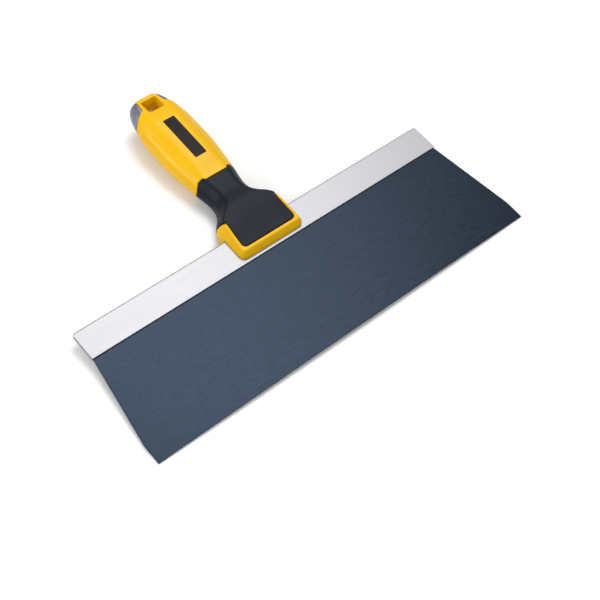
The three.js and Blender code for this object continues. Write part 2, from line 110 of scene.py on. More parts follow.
TONGUE_START = 128.4
TONGUE_START_HALF_WIDTH = 8.8
TONGUE_END_HALF_WIDTH = 7.0
TONGUE_REACH = 11.5  # half the width that the tongue's straight inner surface takes
CAP_SIDE_RECESS = 0.4
CAP_FACE_RECESS = 1.2
CAP_GAP = 0.1  # between the cap's web and the shells
CAP_TONGUE_GAP = 0.12
WEB_START = 121.0
WEB_FRONT_Z = 1.2
WEB_REAR_Z = -4.4
HOLE_CENTRE_Y = 129.7
HOLE_HALF_LENGTH = 5.3
HOLE_HALF_WIDTH = 6.0
HOLE_RADIUS = 1.6
HOLE_LIP = 0.7  # radius round the hole's mouth
HOLE_DRAFT = 0.5  # how far the walls close in from the mouth to the joint
SLEEVE_WALL = 1.2

SCREW_Y = (40.0, 70.0, 112.0)
SCREW_POCKET_RADIUS = 3.3
POCKET_FLOOR_Z = -5.0
RIVET_X = (-13.0, 0.0, 13.0)
RIVET_Y = 10.5
RIVET_HOLE_RADIUS = 2.15

BADGE_START = 78.0
BADGE_END = 113.0
BADGE_HALF_WIDTH = 4.5
BADGE_RADIUS = 0.8
BADGE_PROUD = 0.15
BADGE_THICKNESS = 0.8

SHELL_WALL = 3.4
JOINT_ROLL = 0.1  # radius of an edge that lies against its neighbour at the shells' joint
JOINT_FADE = 1.2  # distance from the joint over which an edge reaches its own radius
RIM_ROLL = 0.4
GRIP_RIM_ROLL = 0.45
GRIP_ROLL = 0.7
BADGE_ROLL = 0.12
CAP_ROLL = 0.08
FLATTENING = 0.01  # share of its form that an inner surface keeps where it lies flat
CAP_WALL = 1.5

# ---- Resting place ----

mount = next(m for m in frame["record"]["mounts"] if m["name"] == "hang_hole")
tilt = math.atan2(-mount["axis"][1], mount["axis"][2])
lowest_y = -math.cos(tilt) * BLADE_DEPTH - math.sin(tilt) * (BLADE_BOW + BLADE_THICKNESS / 2)
lowest_z = -math.sin(tilt) * BLADE_DEPTH - math.cos(tilt) * BLADE_THICKNESS / 2
to_row = (
    Matrix.Translation((0, cad_low.y, cad_low.z))
    @ Matrix.Scale(0.001, 4)
    @ Matrix.Translation((0, -lowest_y, -lowest_z))
    @ Matrix.Rotation(tilt, 4, "X")
)


def placed(points):
    """Points of the knife's own frame, in mm, turned by the resting tilt and moved into the row frame, in
    metres."""
    turn = np.array(to_row)
    return points @ turn[:3, :3].T + turn[:3, 3]


# ---- Camera ----

CAMERA_PLACE = (-389.1, -304.7, 690.1)  # in the knife's frame, mm
CAMERA_FORWARD = Vector((0.4525, 0.3197, -0.8325)).normalized()
CAMERA_UP = Vector((0.4872, 0.6933, 0.531)).normalized()
CAMERA_LENS = 80.14
CAMERA_SENSOR = 36


def make_camera():
    """A long lens above the blade's left end, turned so that the bar rises to the right."""
    data = bpy.data.cameras.new("camera")
    data.sensor_width = CAMERA_SENSOR
    data.lens = CAMERA_LENS
    data.clip_end = 20
    camera = bpy.data.objects.new("camera", data)
    bpy.context.scene.collection.objects.link(camera)
    right = CAMERA_FORWARD.cross(CAMERA_UP).normalized()
    up = right.cross(CAMERA_FORWARD)
    turn = Matrix((right, up, -CAMERA_FORWARD)).transposed()
    lie_down = Matrix.Rotation(tilt, 3, "X")
    place = to_row @ Vector(CAMERA_PLACE)
    camera.matrix_world = Matrix.Translation(place) @ (lie_down @ turn).to_4x4()
    bpy.context.scene.camera = camera


make_camera()

# ---- The handle's outer form ----


def smooth(knots):
    """A monotone cubic through (y, value) knots: each inner slope is the harmonic mean of the chords'."""
    at, value = np.array(knots, float).T
    chord = np.diff(value) / np.diff(at)
    rising = chord[:-1] * chord[1:] > 0
    mean = 2 * chord[:-1] * chord[1:] / np.where(rising, chord[:-1] + chord[1:], 1)
    slope = np.concatenate([[0], np.where(rising, mean, 0), [0]])

    def curve(y):
        y = np.clip(y, at[0], at[-1])
        i = np.clip(np.searchsorted(at, y, side="right") - 1, 0, len(at) - 2)
        length = at[i + 1] - at[i]
        t = (y - at[i]) / length
        start = value[i] * (1 + 2 * t) * (1 - t) ** 2 + slope[i] * length * t * (1 - t) ** 2
        end = value[i + 1] * (3 - 2 * t) * t**2 + slope[i + 1] * length * (t - 1) * t**2
        return start + end

    return curve


body_half_width = smooth([
    (HEAD_START, HEAD_HALF_WIDTH), (24, 25.7), (29, 25), (33, 22.2), (37, 18), (42, 15.2), (48, 14.2),
    (64, 16.6), (94, 19.4), (112, 19.2), (126, 17.2), (131, 15.8), (135, 14), (138, 12), (BUTT_END, 9.8),
])
body_front = smooth([
    (HEAD_START, 7), (7, 7.3), (28, 9.9), (35.5, 10.5), (48, 8.9), (62, 8.8), (78, 11.1), (113, 11.7),
    (125, 10.3), (135, 9.3), (BUTT_END, 7.6),
])
body_rear = smooth([
    (HEAD_START, -6.4), (28, -8.4), (48, -9.2), (63, -11.2), (92, -14.6), (112, -13.4), (126, -9.8),
    (136, -6.6), (BUTT_END, -5),
])
front_shoulder = smooth([(30, 2.6), (46, 2.2), (94, 4.5), (BUTT_END, 4.2)])
rear_shoulder = smooth([(30, -4), (46, -4), (94, -5.5), (BUTT_END, -2.4)])
flank_run = smooth([(28, 0.55), (46, 0.8), (94, 1.4), (BUTT_END, 0.8)])
edge_rounding = smooth([(22, 0.9), (40, 2.6), (94, 4.6), (130, 3.4), (BUTT_END, 1.8)])


def blend_union(a, b, reach):
    """The lesser of two fields, or the union of two zones, with the turn between them rounded."""
    near = np.clip(0.5 + 0.5 * (b - a) / reach, 0, 1)
    return b + (a - b) * near - reach * near * (1 - near)


def corner_draw(radius, distance):
    """How far a round corner draws a side in: radius less the height of its quarter circle there."""
    reach = np.clip(distance, 0, radius)
    return radius - np.sqrt(radius**2 - (radius - reach) ** 2)


def section(y, around, inset=0.0, drop=0.0):
    """X and Z of the handle's section at y. Around counts sixteen stretches: an even one is the curve round
    one of eight corners, (1-f)^2 A + 2f(1-f) corner + f^2 B, and an odd one the straight side to the next.
    Inset draws all sides in, and drop takes both faces further towards the blade's plane."""
    draw = inset + corner_draw(END_ROUNDING, np.minimum(y - HEAD_START, BUTT_END - y))
    half = body_half_width(y) - corner_draw(HEAD_CORNER_RADIUS, y - HEAD_START) - draw
    front = blend_union(body_front(y), LIP_HEIGHT + LIP_SLOPE * (y - HEAD_START), LIP_BLEND) - draw
    rear = np.maximum(body_rear(y), REAR_LIP_HEIGHT - LIP_SLOPE * (y - HEAD_START)) + draw
    least_flank = 0.2
    front_edge = np.minimum(front_shoulder(y), front - least_flank)
    rear_edge = np.maximum(rear_shoulder(y), rear + least_flank)
    front_flat = half - flank_run(y) * (front - front_edge)
    rear_flat = half - flank_run(y) * (rear_edge - rear)
    x = np.stack([half, front_flat, -front_flat, -half, -half, -rear_flat, rear_flat, half])
    z = np.stack([front_edge, front, front, front_edge, rear_edge, rear, rear, rear_edge])
    facing = np.repeat([1, -1], 4)[:, None]  # the four front corners, then the four rear ones
    corners = np.stack([x, z - drop * facing], -1)
    corner = np.floor(around / 2).astype(int) % 8
    f = (around - 2 * np.floor(around / 2))[:, None]
    each = np.arange(len(y))
    here = corners[corner, each]
    before = corners[(corner + 7) % 8, each]
    after = corners[(corner + 1) % 8, each]
    reach = edge_rounding(y)[:, None]

    def towards(other):
        length = np.linalg.norm(other - here, axis=1, keepdims=True)
        return np.minimum(reach / length, 0.45)  # under half, so that a side's two curves stay apart

    first = here + (before - here) * towards(before)
    last = here + (after - here) * towards(after)
    next_first = after + (here - after) * towards(after)
    curve = first * (1 - f) ** 2 + 2 * here * f * (1 - f) + last * f**2
    side = last + (next_first - last) * (f - 1)
    return np.where(f <= 1, curve, side)


def stretches(parts):
    """Positions along a line: each part (start, end, count) is divided evenly, without its end."""
    return np.concatenate([np.linspace(start, end, count, endpoint=False) for start, end, count in parts])


# Rows run from the head's end face along Y to the butt's, closer together where the form turns quickly.
END_FACE_ROWS = 14
SHRUNK = np.linspace(0.2, 1, END_FACE_ROWS, endpoint=False)
ROW_Y = np.concatenate([
    np.full(END_FACE_ROWS, HEAD_START),
    HEAD_START + END_ROUNDING * (1 - np.cos(np.linspace(0, math.pi / 2, 6, endpoint=False))),
    stretches([
        (HEAD_START + END_ROUNDING, 9, 20), (9, 25, 26), (25, 34, 28), (34, 60, 42), (60, 66, 20),
        (66, 77, 18), (77, 79, 8), (79, 112, 50), (112, 114, 8), (114, 121, 12),
        (121, BUTT_END - END_ROUNDING, 58),
    ]),
    BUTT_END - END_ROUNDING * np.sin(np.linspace(math.pi / 2, 0, 7)),
    np.full(END_FACE_ROWS, BUTT_END),
])
ROW_SHRINK = np.concatenate([
    SHRUNK, np.ones(len(ROW_Y) - 2 * END_FACE_ROWS), np.linspace(1, 0, END_FACE_ROWS + 1)[1:],
])

# Columns run round the section: corner curves, and the sides between them.
SIDE_COLUMNS = (10, 66, 10, 16, 10, 54, 10, 16)
CORNER_COLUMNS = 9
COLUMN_AROUND = stretches([
    part
    for corner, count in enumerate(SIDE_COLUMNS)
    for part in ((2 * corner, 2 * corner + 1, CORNER_COLUMNS), (2 * corner + 1, 2 * corner + 2, count))
])


def handle_surface(inset=0.0, drop=0.0, shorten=0.0):
    """The handle's outer form as rows of sections, or a form inside it: inset draws the sides in, drop
    lowers the faces, and shorten pulls both ends in, evenly along Y. On the end faces the sections shrink
    towards their middle."""
    middle = (HEAD_START + BUTT_END) / 2
    half_length = (BUTT_END - HEAD_START) / 2
    row_y = middle + (ROW_Y - middle) * (1 - shorten / half_length)
    y, around = np.meshgrid(row_y, COLUMN_AROUND, indexing="ij")
    shrink = np.repeat(ROW_SHRINK[:, None], len(COLUMN_AROUND), 1).ravel()
    flat = section(y.ravel(), around.ravel(), inset, drop)
    x = flat[:, 0] * shrink
    z = flat[:, 1] * shrink
    return np.stack([x, y.ravel(), z], -1).reshape(y.shape + (3,))


# ---- Zones: signed distances in mm, negative inside ----


def rounded_box(x, y, half_x, half_y, radius):
    """Distance to a rectangle with round corners, centred on the origin."""
    over_x = np.abs(x) - half_x + radius
    over_y = np.abs(y) - half_y + radius
    outside = np.hypot(np.maximum(over_x, 0), np.maximum(over_y, 0))
    return outside + np.minimum(np.maximum(over_x, over_y), 0) - radius


def front_half(p):
    """In front of the shells' joint, which steps up over the bar."""
    past_bar = BAR_HEIGHT + BAR_CLEARANCE - p[..., 1]
    behind_bar = np.maximum(past_bar, PARTING_Z + PARTING_GAP - p[..., 2])
    return np.minimum(behind_bar, SEAT_Z - p[..., 2])


def rear_half(p):
    """Behind the same joint, which steps down under the bar."""
    behind_bar = p[..., 2] - PARTING_Z + PARTING_GAP
    under_bar = np.maximum(p[..., 2] + SEAT_Z, p[..., 1] - BAR_HEIGHT)
    return np.minimum(behind_bar, under_bar)


grip_end = smooth([(0, 62.1), (8.4, 62.1), (9.9, 63.9), (13.2, 64), (16.5, 61), (24, 58)])


def grip_zone(p):
    """The pad on the head's face, joined to everything between the neck's shoulder and its butt edge."""
    x, y, z = p[..., 0], p[..., 1], p[..., 2]
    taper = np.clip((y - PAD_START) / (GRIP_SHOULDER - PAD_START), 0, 1.2)
    half = PAD_START_HALF_WIDTH + (PAD_END_HALF_WIDTH - PAD_START_HALF_WIDTH) * taper
    over_x = np.abs(x) - half + PAD_CORNER_RADIUS
    over_y = PAD_START + PAD_CORNER_RADIUS - y
    outside = np.hypot(np.maximum(over_x, 0), np.maximum(over_y, 0))
    pad = outside + np.minimum(np.maximum(over_x, over_y), 0) - PAD_CORNER_RADIUS
    pad = np.maximum(pad, y - PAD_REACH)
    bulge = GRIP_SHOULDER_BULGE * np.maximum(1 - (z / GRIP_SHOULDER_DEPTH) ** 2, 0)
    neck = np.maximum(GRIP_SHOULDER + bulge - y, y - grip_end(np.abs(x)))
    return blend_union(pad, neck, GRIP_BLEND)


notch_edge = smooth([(0, TONGUE_START), (8.6, TONGUE_START), (14.2, 126), (18.5, 122.5), (60, 116.5)])


def tongue_zone(p):
    """The shells in plan: everything short of the notch, and the tongue round the hang hole."""
    lean = 0.85  # turns a distance along Y into one square to the notch's sloping edge
    inner_corner = 0.8
    x, y = np.abs(p[..., 0]), p[..., 1]
    narrowing = (TONGUE_START_HALF_WIDTH - TONGUE_END_HALF_WIDTH) / (BUTT_END - TONGUE_START)
    half = TONGUE_START_HALF_WIDTH - narrowing * (y - TONGUE_START)
    return blend_union((y - notch_edge(x)) * lean, x - half, inner_corner)


def web_zone(p):
    """The cap's middle, between the two tongues."""
    return np.maximum.reduce([WEB_START - p[..., 1], p[..., 2] - WEB_FRONT_Z, WEB_REAR_Z - p[..., 2]])


def hole_zone(p):
    """The hang hole, in plan."""
    along = p[..., 1] - HOLE_CENTRE_Y
    return rounded_box(p[..., 0], along, HOLE_HALF_WIDTH, HOLE_HALF_LENGTH, HOLE_RADIUS)


def hole_slope(p):
    """The direction in plan in which the distance to the hole grows."""
    nudge = 0.01
    along_x = hole_zone(p + (nudge, 0, 0)) - hole_zone(p - (nudge, 0, 0))
    along_y = hole_zone(p + (0, nudge, 0)) - hole_zone(p - (0, nudge, 0))
    return np.stack([along_x, along_y, np.zeros(along_x.shape)], -1) / (2 * nudge)


def badge_zone(p):
    """The badge's outline, on the front only."""
    middle = (BADGE_START + BADGE_END) / 2
    half_length = (BADGE_END - BADGE_START) / 2
    face = rounded_box(p[..., 0], p[..., 1] - middle, BADGE_HALF_WIDTH, half_length, BADGE_RADIUS)
    return np.maximum(face, -p[..., 2])


def circles(p, centres, radius):
    """Distance to the nearest of some round holes through the knife."""
    each = [np.hypot(p[..., 0] - x, p[..., 1] - y) - radius for x, y in centres]
    return np.minimum.reduce(each)


def pocket_zone(p):
    """The screws' pockets, open at the back."""
    round_holes = circles(p, [(0, y) for y in SCREW_Y], SCREW_POCKET_RADIUS)
    return np.maximum(round_holes, p[..., 2] - POCKET_FLOOR_Z)


# ---- Cutting a closed piece out of a grid ----

ROLL_STEPS = 4
TINY = 1e-9

# Channels of a piece's grid, after the coordinates of four layers: outer, inner, sunk and normals.
CUT = 12
STEP = 13
CUT_ROLL = 14
STEP_ROLL = 15


def grid_normals(points, wraps):
    """Unit normals from the cross product of each point's row and column directions."""
    along = np.gradient(points, axis=0)
    if wraps:
        across = np.roll(points, -1, 1) - np.roll(points, 1, 1)
    else:
        across = np.gradient(points, axis=1)
    normal = np.cross(along, across)
    length = np.linalg.norm(normal, axis=-1, keepdims=True)
    return np.where(length > TINY, normal / np.maximum(length, TINY), (0, 1, 0))


def snapped(grid, channel, wraps):
    """The grid with each point that is nearest to where the channel changes sign moved onto that place,
    by linear interpolation along the grid's lines. All channels move together."""
    move = np.zeros_like(grid)
    count = np.zeros(grid.shape[:2] + (1,))
    for axis, closed in ((0, False), (1, wraps)):
        there = np.roll(grid, -1, axis)
        a, b = grid[..., channel], there[..., channel]
        crossing = a * b < 0
        if not closed:
            last = [slice(None), slice(None)]
            last[axis] = -1
            crossing[tuple(last)] = False
        share = np.where(crossing, a / np.where(crossing, a - b, 1), 0)[..., None]
        near = crossing[..., None] & (share < 0.5)
        far = crossing[..., None] & (share >= 0.5)
        move += np.where(near, share * (there - grid), 0)
        count += near
        move += np.roll(np.where(far, (share - 1) * (there - grid), 0), 1, axis)
        count += np.roll(far, 1, axis)
    result = grid + move / np.maximum(count, 1)
    result[..., channel] = np.where(count[..., 0] > 0, 0, result[..., channel])
    return result


def grid_triangles(index, fields, wraps):
    """Two triangles for each cell, split along the diagonal that no field crosses."""
    right = np.roll(index, -1, 1)
    if not wraps:
        index, right = index[:, :-1], right[:, :-1]
    a, b = index[:-1].ravel(), index[1:].ravel()
    c, d = right[1:].ravel(), right[:-1].ravel()
    crossed = np.zeros(len(a), bool)
    other_crossed = np.zeros(len(a), bool)
    for field in fields:
        crossed |= field[a] * field[c] < 0
        other_crossed |= field[b] * field[d] < 0
    turn = crossed & ~other_crossed
    first = np.stack([a, b, np.where(turn, d, c)], -1)
    second = np.stack([np.where(turn, b, a), c, d], -1)
    return np.concatenate([first, second])


def boundary(edges, others, total):
    """The directed edges whose reverse is in none of the other edges."""
    keys = edges[:, 1].astype(np.int64) * total + edges[:, 0]
    taken = np.concatenate([e[:, 0].astype(np.int64) * total + e[:, 1] for e in others])
    return ~np.isin(keys, taken)


def directed_edges(triangles):
    """The three edges of each triangle, in its own turning direction."""
    return np.concatenate([triangles[:, [0, 1]], triangles[:, [1, 2]], triangles[:, [2, 0]]])


def rolled_strip(edges, points, normals, radius, bottom, first_new):
    """A strip from a cut's edge to the points below it: quarter-circle rows, point + radius (out sin(t) -
    normal (1 - cos(t))), then one wall down to bottom. Out is square to the edge and to the normal, and
    is the mean of the two edges that meet at a point. Returns the new rows and the quads."""
    used, back = np.unique(edges, return_inverse=True)
    back = back.reshape(edges.shape)
    line = points[edges[:, 1]] - points[edges[:, 0]]
    out = np.zeros((len(used), 3))
    sideways = np.cross(line, normals[edges[:, 0]] + normals[edges[:, 1]])
    sideways /= np.maximum(np.linalg.norm(sideways, axis=1, keepdims=True), TINY)
    np.add.at(out, back[:, 0], sideways)
    np.add.at(out, back[:, 1], sideways)
    normal = normals[used]
    out -= normal * np.sum(out * normal, axis=1, keepdims=True)
    length = np.linalg.norm(out, axis=1, keepdims=True)
    out = np.where(length > 1e-6, out / np.maximum(length, 1e-6), 0)
    r = radius[used][:, None]
    angles = np.arange(1, ROLL_STEPS + 1) / ROLL_STEPS * math.pi / 2
    rows = [points[used] + r * (out * math.sin(t) - normal * (1 - math.cos(t))) for t in angles]
    levels = [used] + [first_new + k * len(used) + np.arange(len(used)) for k in range(ROLL_STEPS)]
    levels.append(bottom[used])
    quads = []
    for upper, lower in zip(levels[:-1], levels[1:]):
        a, b = back[:, 0], back[:, 1]
        quads.append(np.stack([upper[b], upper[a], lower[a], lower[b]], -1))
    return np.concatenate(rows), np.concatenate(quads)


def close_piece(
    outer, inner, zone, radius, wraps=False, sunk=None, sunk_zone=None, sunk_radius=None, pole=False
):
    """Vertices and faces of the closed piece that a zone cuts from the outer grid. Where sunk_zone is
    negative, the surface steps down to the sunk grid. The inner grid closes the piece from below. With
    wraps the last column joins the first, and with pole the last row is a single point."""
    if sunk is None:
        sunk, sunk_zone, sunk_radius = inner, np.ones(zone.shape), np.zeros(zone.shape)
    layers = [outer, inner, sunk, grid_normals(outer, wraps)]
    fields = [zone + radius, sunk_zone - sunk_radius, radius, sunk_radius]
    grid = np.concatenate(layers + [field[..., None] for field in fields], -1)
    grid = snapped(grid, STEP, wraps)
    grid = snapped(grid, CUT, wraps)
    total = grid.shape[0] * grid.shape[1]
    index = np.arange(total).reshape(grid.shape[:2])
    if pole:
        index[-1] = index[-1, 0]
    flat = grid.reshape(total, -1)
    points, below, lower, normals = (flat[:, 3 * k : 3 * k + 3] for k in range(4))
    normals = normals / np.maximum(np.linalg.norm(normals, axis=1, keepdims=True), TINY)
    cut, step = flat[:, CUT], flat[:, STEP]
    triangles = grid_triangles(index, (cut, step), wraps)
    on_line = 1e-7
    whole = (np.diff(np.sort(triangles, 1), axis=1) > 0).all(1)
    inside = (cut[triangles] <= on_line).all(1) & (cut[triangles] < -on_line).any(1)
    kept = triangles[whole & inside]
    down = (step[kept] <= on_line).all(1) & (step[kept] < -on_line).any(1)
    high, low = kept[~down], kept[down]
    high_edges, low_edges = directed_edges(high), directed_edges(low)
    high_free = boundary(high_edges, (high_edges,), total)
    to_nothing = boundary(high_edges, (high_edges, low_edges), total)
    low_free = boundary(low_edges, (high_edges, low_edges), total)
    stepping = high_edges[high_free & ~to_nothing]
    vertices = [points, lower, below]
    faces = [high, low + total, kept[:, ::-1] + 2 * total]
    first_new = 3 * total
    strips = [(high_edges[to_nothing], flat[:, CUT_ROLL], np.arange(total) + 2 * total)]
    if len(stepping):
        strips.append((stepping, flat[:, STEP_ROLL], np.arange(total) + total))
    quads = []
    for edges, roll, bottom in strips:
        rows, strip = rolled_strip(edges, points, normals, roll, bottom, first_new)
        vertices.append(rows)
        quads.append(strip)
        first_new += len(rows)
    if low_free.any():
        a, b = low_edges[low_free].T
        quads.append(np.stack([b + total, a + total, a + 2 * total, b + 2 * total], -1))
    vertices = np.concatenate(vertices)
    triangles = np.concatenate(faces)
    quads = np.concatenate(quads)
    used, back = np.unique(np.concatenate([triangles.ravel(), quads.ravel()]), return_inverse=True)
    back = back.ravel()
    split = triangles.size
    return vertices[used], back[:split].reshape(-1, 3), back[split:].reshape(-1, 4)


SHARP_ANGLE = math.radians(38)


def add_mesh(name, vertices, triangles, quads, material, slot, nodes):
    """A mesh object in the row frame, with its small corner gaps filled, that stands for CAD nodes."""
    mesh = bpy.data.meshes.new(name)
    loops = np.concatenate([triangles.ravel(), quads.ravel()])
    sizes = np.concatenate([np.full(len(triangles), 3), np.full(len(quads), 4)])
    mesh.vertices.add(len(vertices))
    mesh.vertices.foreach_set("co", placed(vertices).astype(np.float32).ravel())
    mesh.loops.add(len(loops))
    mesh.loops.foreach_set("vertex_index", loops.astype(np.int32))
    mesh.polygons.add(len(sizes))
    mesh.polygons.foreach_set("loop_start", (np.cumsum(sizes) - sizes).astype(np.int32))
    mesh.update(calc_edges=True)
    mesh.validate()
    fill_gaps(mesh)
    mesh.polygons.foreach_set("use_smooth", np.ones(len(mesh.polygons), bool))
    mesh.set_sharp_from_angle(angle=SHARP_ANGLE)
    mesh.materials.append(material)
    piece = bpy.data.objects.new(name, mesh)
    bpy.context.scene.collection.objects.link(piece)
    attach(piece, "root")
    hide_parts(*nodes)


def fill_gaps(mesh):
    """Closes the slivers that stay open where two cuts cross."""
    work = bmesh.new()
    work.from_mesh(mesh)
    open_edges = [edge for edge in work.edges if edge.is_boundary]
    if open_edges:
        bmesh.ops.holes_fill(work, edges=open_edges, sides=0)
        bmesh.ops.recalc_face_normals(work, faces=work.faces)
    work.to_mesh(mesh)
    work.free()


# ---- Materials ----


def linear(hex_colour):
    """An sRGB hex colour as linear RGBA."""
    parts = [int(hex_colour[i : i + 2], 16) / 255 for i in (1, 3, 5)]
    return tuple(c / 12.92 if c <= 0.04045 else ((c + 0.055) / 1.055) ** 2.4 for c in parts) + (1.0,)


def add_node(tree, kind, settings=None, **links):
    """Adds a node. Settings are its properties or input values, and links join other outputs to it."""
    node = tree.nodes.new(kind)
    for name, value in (settings or {}).items():
        if hasattr(node, name):
            setattr(node, name, value)
        else:
            node.inputs[name].default_value = value
    for name, source in links.items():
        tree.links.new(source, node.inputs[name.replace("_", " ")])
    return node


def new_material(name, **surface):
    """A material with one Principled shader, whose own sockets take the surface's constants."""
    material = bpy.data.materials.new(name)
    material.use_nodes = True
    tree = material.node_tree
    shader = tree.nodes["Principled BSDF"]
    for socket, value in surface.items():
        shader.inputs[socket.replace("_", " ")].default_value = value
    return material, tree, shader


def noise(tree, coordinates, size_mm, detail):
    """Soft noise between 0 and 1 whose features are about size_mm across."""
    settings = {"Scale": 1000 / size_mm, "Detail": detail}
    return add_node(tree, "ShaderNodeTexNoise", settings, Vector=coordinates).outputs["Fac"]


def fine_bump(tree, shader, coordinates, grain_mm, height_mm, strength):
    """A fine moulded or rolled grain: noise of the given grain, as bump. Returns the noise."""
    grain = noise(tree, coordinates, grain_mm, 2.0)
    depth = {"Strength": strength, "Distance": height_mm / 1000}
    bump = add_node(tree, "ShaderNodeBump", depth, Height=grain)
    tree.links.new(bump.outputs["Normal"], shader.inputs["Normal"])
    return grain


def object_coordinates(tree, stretch=(1, 1, 1)):
    """Object coordinates turned back into the knife's frame, so that a pattern runs along its blade."""
    texture = add_node(tree, "ShaderNodeTexCoord")
    turn_back = {"Rotation": (-tilt, 0, 0), "Scale": stretch}
    mapping = add_node(tree, "ShaderNodeMapping", turn_back, Vector=texture.outputs["Object"])
    return mapping.outputs["Vector"]


def mixed_colour(tree, shader, factor, dark, light, low=0.3, high=0.7):
    """Base colour between two hex colours, by a factor field read between low and high."""
    ramp = add_node(tree, "ShaderNodeValToRGB", Fac=factor)
    ramp.color_ramp.elements[0].position = low
    ramp.color_ramp.elements[1].position = high
    ramp.color_ramp.elements[0].color = linear(dark)
    ramp.color_ramp.elements[1].color = linear(light)
    tree.links.new(ramp.outputs["Color"], shader.inputs["Base Color"])


def moulded_polypropylene():
    """Polypropylene moulded in a lightly textured tool: deep yellow and satin, with a faint grain."""
    material, tree, shader = new_material("moulded_polypropylene", Roughness=0.33, Specular_IOR_Level=0.2)
    place = object_coordinates(tree)
    clouds = noise(tree, place, 22.2, 2.0)
    mixed_colour(tree, shader, clouds, "#dba800", "#dfad02")
    fine_bump(tree, shader, place, 0.5, 0.012, 0.25)
    return material


def soft_touch_rubber():
    """Thermoplastic rubber overmoulded with a spark-eroded grain: charcoal, matt, a broad soft sheen."""
    material, tree, shader = new_material("soft_touch_rubber", Roughness=0.44, Specular_IOR_Level=0.12)
    place = object_coordinates(tree)
    clouds = noise(tree, place, 16.7, 3.0)
    mixed_colour(tree, shader, clouds, "#14171f", "#191d27")
    fine_bump(tree, shader, place, 0.45, 0.02, 0.35)
    return material


def brushed(material, tree, shader, dark, light, roughness, streak_mm, length_mm):
    """Fine lines brushed along the bar, as slight changes of tint and roughness. Each line is streak_mm wide
    and length_mm long, drawn coarser than real brushing so that it shows."""
    place = object_coordinates(tree, (streak_mm / length_mm, 1, 1))
    lines = noise(tree, place, streak_mm, 3.0)
    mixed_colour(tree, shader, lines, dark, light, 0.25, 0.75)
    limits = {"To Min": roughness - 0.04, "To Max": roughness + 0.05}
    spread = add_node(tree, "ShaderNodeMapRange", limits, Value=lines)
    tree.links.new(spread.outputs["Result"], shader.inputs["Roughness"])
    depth = {"Strength": 0.12, "Distance": 0.00002}
    bump = add_node(tree, "ShaderNodeBump", depth, Height=lines)
    tree.links.new(bump.outputs["Normal"], shader.inputs["Normal"])
    return material


def blued_spring_steel():
    """Spring steel, finely brushed along its length and heat-blued: dark slate blue, satin."""
    material, tree, shader = new_material("blued_spring_steel", Metallic=1.0)
    return brushed(material, tree, shader, "#242a33", "#2c3542", 0.42, 0.9, 6)


def anodised_aluminium():
    """Aluminium sheet, brushed and clear anodised: pale and satin, with faint long lines."""
    material, tree, shader = new_material("anodised_aluminium", Metallic=1.0)
    return brushed(material, tree, shader, "#a4a4a8", "#a9a9ad", 0.52, 0.8, 25)


def tumbled_zinc():
    """Die-cast zinc, tumbled smooth: a darker grey with a soft cloudy gloss."""
    material, tree, shader = new_material("tumbled_zinc", Metallic=1.0, Roughness=0.48)
    place = object_coordinates(tree)
    grain = fine_bump(tree, shader, place, 0.9, 0.01, 0.2)
    mixed_colour(tree, shader, grain, "#7d7f8c", "#8c8e9b")
    return material


def zinc_plated_steel():
    """Cold-headed steel with bright zinc plating: silver with a faint mottle."""
    material, tree, shader = new_material("zinc_plated_steel", Metallic=1.0, Roughness=0.3)
    place = object_coordinates(tree)
    grain = fine_bump(tree, shader, place, 0.6, 0.008, 0.2)
    mixed_colour(tree, shader, grain, "#b4b7bb", "#c6c9cd")
    return material


def badge_polycarbonate():
    """Polycarbonate badge with a finely etched face: near black, half matt."""
    material, tree, shader = new_material("badge_polycarbonate", Roughness=0.36, Specular_IOR_Level=0.1)
    place = object_coordinates(tree)
    grain = fine_bump(tree, shader, place, 0.3, 0.008, 0.3)
    mixed_colour(tree, shader, grain, "#14110d", "#181511")
    return material


yellow = moulded_polypropylene()
rubber = soft_touch_rubber()
blued = blued_spring_steel()
bright_bar = anodised_aluminium()
zinc = tumbled_zinc()
plated = zinc_plated_steel()
badge_black = badge_polycarbonate()

# ---- Handle pieces ----

outer_form = handle_surface()


def towards_parting(half, large):
    """A roll radius that shrinks to the joint's own where the shells' joint is near."""
    return JOINT_ROLL + (large - JOINT_ROLL) * np.clip(-half / JOINT_FADE, 0, 1)


def shell_inner(half_sign):
    """The shells' inner surface: a form inside the outer one, kept clear of the joint and of the bar. Round
    the hang hole it runs straight down to the joint, and under the tongue to the cap's web."""
    inner = handle_surface(inset=SHELL_WALL, shorten=SHELL_WALL)
    x, y = outer_form[..., 0], outer_form[..., 1]
    seat = half_sign * (SEAT_Z + 0.01)  # a hair off the shell's own seat on the bar
    bar_end = BAR_HEIGHT + (0.5 if half_sign > 0 else 0)  # the front half also clears the fold
    floor = np.where(y < bar_end, seat, PARTING_Z + half_sign * PARTING_GAP)
    web_face = (WEB_FRONT_Z if half_sign > 0 else WEB_REAR_Z) + half_sign * CAP_GAP
    above = half_sign * (inner[..., 2] - floor)
    inner[..., 2] = floor + half_sign * np.where(above > 0, above, above * FLATTENING)
    in_tongue = (y > WEB_START) & (np.abs(x) < TONGUE_REACH)
    sleeve = hole_zone(outer_form) < SLEEVE_WALL
    tongue_floor = np.where(sleeve, PARTING_Z + half_sign * PARTING_GAP, web_face)
    least_wall = 0.1
    height = half_sign * outer_form[..., 2] - least_wall
    tongue_floor = half_sign * np.minimum(half_sign * tongue_floor, height)
    lean = FLATTENING * np.abs(outer_form[..., 2] - tongue_floor)
    straight = np.stack([x, y - lean, tongue_floor], -1)
    straight -= np.where(sleeve[..., None], hole_slope(outer_form) * (HOLE_LIP + HOLE_DRAFT), 0)
    return np.where(in_tongue[..., None], straight, inner)


